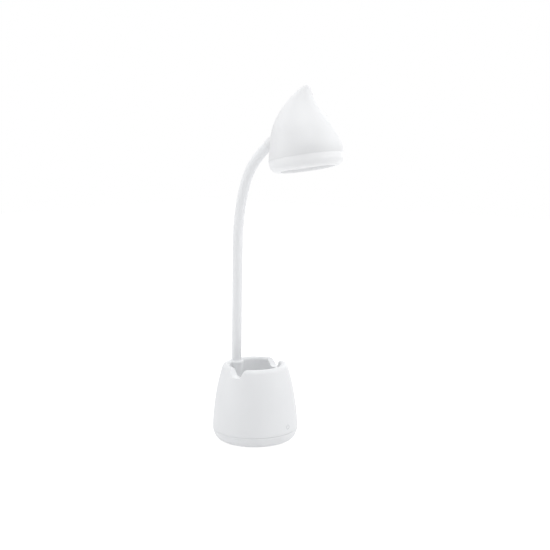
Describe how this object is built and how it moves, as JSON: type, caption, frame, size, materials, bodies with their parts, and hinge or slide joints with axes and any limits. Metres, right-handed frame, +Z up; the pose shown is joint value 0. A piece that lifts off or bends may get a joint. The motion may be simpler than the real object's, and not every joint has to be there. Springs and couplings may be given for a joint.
{
  "type": "desk lamp with pen cup base",
  "caption": "Cordless desk lamp: a round pen-cup base with phone grooves, a bendable neck and a leaning teardrop head with a recessed diffuser.",
  "frame": {"origin": "middle of the foot pad's underside, on the desk", "axes": "+Z up from the desk, -Y to the front of the lamp (the side the head leans to), +X to the right seen from the front"},
  "size_m": [0.104, 0.1708, 0.4217],
  "materials": {
    "housing_white": "satin moulded plastic",
    "shade_white": "satin moulded plastic",
    "diffuser_opal": "opal diffusing plastic",
    "sleeve_silicone": "smooth matte silicone",
    "foot_foam": "matte non-slip pad",
    "steel": "zinc-plated steel",
    "ballast_steel": "dark phosphated steel",
    "aluminium": "plain sheet",
    "cell_wrap": "shrink-wrapped cell, with a density near a real cell's",
    "board_green": "solder mask",
    "led_yellow": "phosphor-covered chips",
    "inner_black": "black moulded plastic",
    "reflector_white": "high-reflectance white",
    "copper": "copper strip",
    "lead_black": "insulated lead"
  },
  "bodies": {
    "base": {"foot_pad": "foot_foam", "base_cover": "housing_white", "ballast_plate": "ballast_steel", "battery_cradle": "inner_black", "battery_cell": "cell_wrap", "battery_lead": "lead_black", "main_board": "board_green", "charge_port": "steel", "touch_electrode": "copper", "touch_lead": "lead_black", "lamp_lead": "lead_black", "pot_body": "housing_white", "cover_screws": "steel", "board_screws": "steel", "neck_lower_fitting": "steel", "neck_lower_washer": "steel", "neck_lower_nut": "steel", "neck_sleeve_00": "sleeve_silicone", "gooseneck_00": "steel"},
    "neck_link_01": {"neck_sleeve_01": "sleeve_silicone", "gooseneck_01": "steel"},
    "neck_link_02": {"neck_sleeve_02": "sleeve_silicone", "gooseneck_02": "steel"},
    "neck_link_03": {"neck_sleeve_03": "sleeve_silicone", "gooseneck_03": "steel"},
    "neck_link_04": {"neck_sleeve_04": "sleeve_silicone", "gooseneck_04": "steel"},
    "neck_link_05": {"neck_sleeve_05": "sleeve_silicone", "gooseneck_05": "steel"},
    "neck_link_06": {"neck_sleeve_06": "sleeve_silicone", "gooseneck_06": "steel"},
    "neck_link_07": {"neck_sleeve_07": "sleeve_silicone", "gooseneck_07": "steel"},
    "neck_link_08": {"neck_sleeve_08": "sleeve_silicone", "gooseneck_08": "steel"},
    "neck_link_09": {"neck_sleeve_09": "sleeve_silicone", "gooseneck_09": "steel"},
    "neck_link_10": {"neck_sleeve_10": "sleeve_silicone", "gooseneck_10": "steel"},
    "neck_link_11": {"neck_sleeve_11": "sleeve_silicone", "gooseneck_11": "steel"},
    "head": {"neck_sleeve_12": "sleeve_silicone", "gooseneck_12": "steel", "neck_upper_fitting": "steel", "neck_upper_washer": "steel", "neck_upper_nut": "steel", "neck_collar": "shade_white", "shade_shell": "shade_white", "shade_band": "shade_white", "diffuser": "diffuser_opal", "reflector": "reflector_white", "led_board": "aluminium", "led_chips": "led_yellow", "heat_spreader": "aluminium", "spreader_screws": "steel", "head_lead": "lead_black"}
  },
  "joints": [
    {"name": "lower_bend", "type": "hinge", "parent": "base", "child": "neck_link_01", "pos_m": [0, 0.02994, 0.1035], "axis": [1, 0, 0], "range_deg": [-8, 12]},
    {"name": "side_bend", "type": "hinge", "parent": "neck_link_01", "child": "neck_link_02", "pos_m": [0, 0.02943, 0.12635], "axis": [0, 0.9998, 0.022], "range_deg": [-12, 12]},
    {"name": "lower_bend_03", "type": "hinge", "parent": "neck_link_02", "child": "neck_link_03", "pos_m": [0, 0.02893, 0.14919], "axis": [1, 0, 0], "range_deg": [-8, 12]},
    {"name": "lower_bend_04", "type": "hinge", "parent": "neck_link_03", "child": "neck_link_04", "pos_m": [0, 0.02843, 0.17204], "axis": [1, 0, 0], "range_deg": [-8, 12]},
    {"name": "side_bend_05", "type": "hinge", "parent": "neck_link_04", "child": "neck_link_05", "pos_m": [0, 0.02793, 0.19489], "axis": [0, 0.9998, 0.022], "range_deg": [-12, 12]},
    {"name": "lower_bend_06", "type": "hinge", "parent": "neck_link_05", "child": "neck_link_06", "pos_m": [0, 0.02742, 0.21774], "axis": [1, 0, 0], "range_deg": [-8, 12]},
    {"name": "upper_bend", "type": "hinge", "parent": "neck_link_06", "child": "neck_link_07", "pos_m": [0, 0.0269, 0.24059], "axis": [1, 0, 0], "range_deg": [-14, 12]},
    {"name": "side_bend_08", "type": "hinge", "parent": "neck_link_07", "child": "neck_link_08", "pos_m": [0, 0.02497, 0.26335], "axis": [0, 0.9911, 0.1331], "range_deg": [-12, 12]},
    {"name": "upper_bend_09", "type": "hinge", "parent": "neck_link_08", "child": "neck_link_09", "pos_m": [0, 0.02083, 0.28582], "axis": [1, 0, 0], "range_deg": [-14, 12]},
    {"name": "upper_bend_10", "type": "hinge", "parent": "neck_link_09", "child": "neck_link_10", "pos_m": [0, 0.0145, 0.30777], "axis": [1, 0, 0], "range_deg": [-14, 12]},
    {"name": "side_bend_11", "type": "hinge", "parent": "neck_link_10", "child": "neck_link_11", "pos_m": [0, 0.00428, 0.32813], "axis": [0, 0.8228, 0.5683], "range_deg": [-12, 12]},
    {"name": "upper_bend_12", "type": "hinge", "parent": "neck_link_11", "child": "head", "pos_m": [0, -0.01096, 0.34509], "axis": [1, 0, 0], "range_deg": [-14, 12]}
  ],
  "couplings": [
    {"joint": "lower_bend_03", "follows": "lower_bend", "ratio": 1},
    {"joint": "lower_bend_04", "follows": "lower_bend", "ratio": 1},
    {"joint": "side_bend_05", "follows": "side_bend", "ratio": 1},
    {"joint": "lower_bend_06", "follows": "lower_bend", "ratio": 1},
    {"joint": "side_bend_08", "follows": "side_bend", "ratio": 1},
    {"joint": "upper_bend_09", "follows": "upper_bend", "ratio": 1},
    {"joint": "upper_bend_10", "follows": "upper_bend", "ratio": 1},
    {"joint": "side_bend_11", "follows": "side_bend", "ratio": 1},
    {"joint": "upper_bend_12", "follows": "upper_bend", "ratio": 1}
  ]
}
